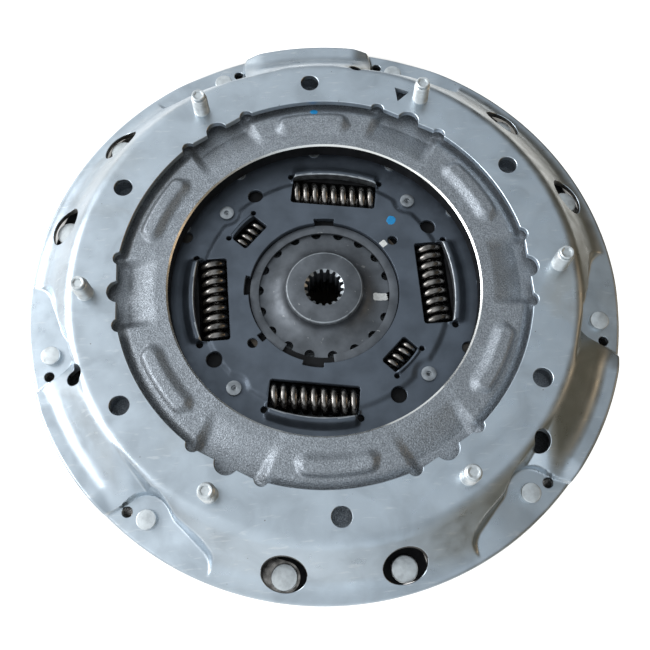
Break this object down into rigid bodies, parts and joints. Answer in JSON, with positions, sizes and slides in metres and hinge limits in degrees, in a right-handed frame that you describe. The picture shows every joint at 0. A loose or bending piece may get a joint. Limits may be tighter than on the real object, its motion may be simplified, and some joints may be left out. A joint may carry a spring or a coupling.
{
  "type": "dual clutch assembly",
  "caption": "Dry dual clutch: a stamped drive ring with flywheel studs over two friction discs, two pressure plates, a central plate with bearing, and two lever springs.",
  "frame": {"origin": "centre of the drive ring's flywheel face, on the clutch axis", "axes": "+Z along the clutch axis, from the gearbox to the engine; +X through one flywheel stud"},
  "size_m": [0.2916, 0.2916, 0.0971],
  "materials": {
    "zinc": "satin zinc phosphate",
    "bright_steel": "bright galvanised",
    "cast_grey": "as cast, grainy",
    "plate_grey": "satin blue-grey",
    "hub_grey": "satin dark grey",
    "spring_dark": "oil-tempered dark brown",
    "sheet_dark": "phosphated sheet",
    "bearing_steel": "ground",
    "friction_brown": "organic friction lining",
    "brass_rivet": "plain",
    "seal_black": "moulded"
  },
  "bodies": {
    "housing": {"drive_ring": "zinc", "flywheel_studs": "bright_steel", "flange_rivets": "bright_steel", "central_plate": "cast_grey", "clutch_cover": "sheet_dark", "k1_front_fulcrum_ring": "bright_steel", "k1_rear_fulcrum_ring": "bright_steel", "k2_fulcrum_ring": "bright_steel", "k1_lever_spring": "spring_dark", "k2_lever_spring": "spring_dark", "k1_leaf_springs": "spring_dark", "k2_leaf_springs": "spring_dark", "leaf_rivets": "bright_steel", "bearing_outer_ring": "bearing_steel", "bearing_seals": "seal_black", "bearing_circlip": "sheet_dark"},
    "bearing_inner": {"bearing_inner_ring": "bearing_steel"},
    "bearing_ball_set": {"bearing_balls": "bright_steel", "bearing_cage": "brass_rivet"},
    "k1_pressure": {"k1_pressure_plate": "cast_grey", "pull_cage": "sheet_dark", "pull_cage_rivets": "bright_steel"},
    "k1_adjuster": {"k1_adjuster_ring": "zinc"},
    "k2_pressure": {"k2_pressure_plate": "cast_grey", "k2_strap_rivets": "bright_steel"},
    "k2_adjuster": {"k2_adjuster_ring": "zinc"},
    "k1_disc": {"k1_front_facing": "friction_brown", "k1_rear_facing": "friction_brown", "k1_cushion_segments": "sheet_dark", "k1_segment_rivets": "bright_steel", "k1_facing_rivets": "brass_rivet", "k1_cover_plate": "plate_grey", "k1_retainer_plate": "plate_grey", "k1_stop_rivets": "bright_steel", "k1_large_springs": "spring_dark", "k1_small_springs": "spring_dark"},
    "k1_hub_body": {"k1_hub": "hub_grey", "k1_hub_flange": "hub_grey", "k1_snap_ring": "sheet_dark", "k1_friction_ring": "friction_brown", "k1_friction_spring": "spring_dark"},
    "k2_disc": {"k2_front_facing": "friction_brown", "k2_rear_facing": "friction_brown", "k2_cushion_segments": "sheet_dark", "k2_segment_rivets": "bright_steel", "k2_facing_rivets": "brass_rivet", "k2_carrier_plate": "plate_grey", "k2_front_plate": "plate_grey", "k2_stop_rivets": "bright_steel", "k2_springs": "spring_dark"},
    "k2_hub_body": {"k2_hub": "hub_grey", "k2_friction_ring": "friction_brown"}
  },
  "joints": [
    {"name": "k1_pressure_slide", "type": "slide", "parent": "housing", "child": "k1_pressure", "axis": [0, 0, -1], "range_m": [0, 0.001], "stiffness_N_per_m": 100000, "springref_m": -0.002, "deforming": ["k1_leaf_springs"]},
    {"name": "k2_pressure_slide", "type": "slide", "parent": "housing", "child": "k2_pressure", "axis": [0, 0, 1], "range_m": [0, 0.001], "stiffness_N_per_m": 100000, "springref_m": -0.002, "deforming": ["k2_leaf_springs"]},
    {"name": "k1_wear_adjust", "type": "hinge", "parent": "k1_pressure", "child": "k1_adjuster", "pos_m": [0, 0, -0.077], "axis": [0, 0, 1], "range_deg": [0, 10]},
    {"name": "k2_wear_adjust", "type": "hinge", "parent": "k2_pressure", "child": "k2_adjuster", "pos_m": [0, 0, -0.061], "axis": [0, 0, 1], "range_deg": [0, 10]},
    {"name": "k1_disc_spin", "type": "hinge", "parent": "housing", "child": "k1_hub_body", "pos_m": [0, 0, -0.019], "axis": [0, 0, 1], "continuous": true},
    {"name": "k1_damper_twist", "type": "hinge", "parent": "k1_hub_body", "child": "k1_disc", "pos_m": [0, 0, -0.021], "axis": [0, 0, 1], "range_deg": [-8, 8], "stiffness_Nm_per_rad": 400, "deforming": ["k1_large_springs", "k1_small_springs"]},
    {"name": "k2_disc_spin", "type": "hinge", "parent": "housing", "child": "k2_hub_body", "pos_m": [0, 0, -0.041], "axis": [0, 0, 1], "continuous": true},
    {"name": "k2_damper_twist", "type": "hinge", "parent": "k2_hub_body", "child": "k2_disc", "pos_m": [0, 0, -0.043], "axis": [0, 0, 1], "range_deg": [-8, 8], "stiffness_Nm_per_rad": 400, "deforming": ["k2_springs"]},
    {"name": "bearing_spin", "type": "hinge", "parent": "housing", "child": "bearing_inner", "pos_m": [0, 0, -0.032], "axis": [0, 0, 1], "continuous": true},
    {"name": "ball_set_spin", "type": "hinge", "parent": "housing", "child": "bearing_ball_set", "pos_m": [0, 0, -0.032], "axis": [0, 0, 1], "continuous": true}
  ],
  "couplings": [
    {"joint": "ball_set_spin", "follows": "bearing_spin", "ratio": 0.4181}
  ]
}
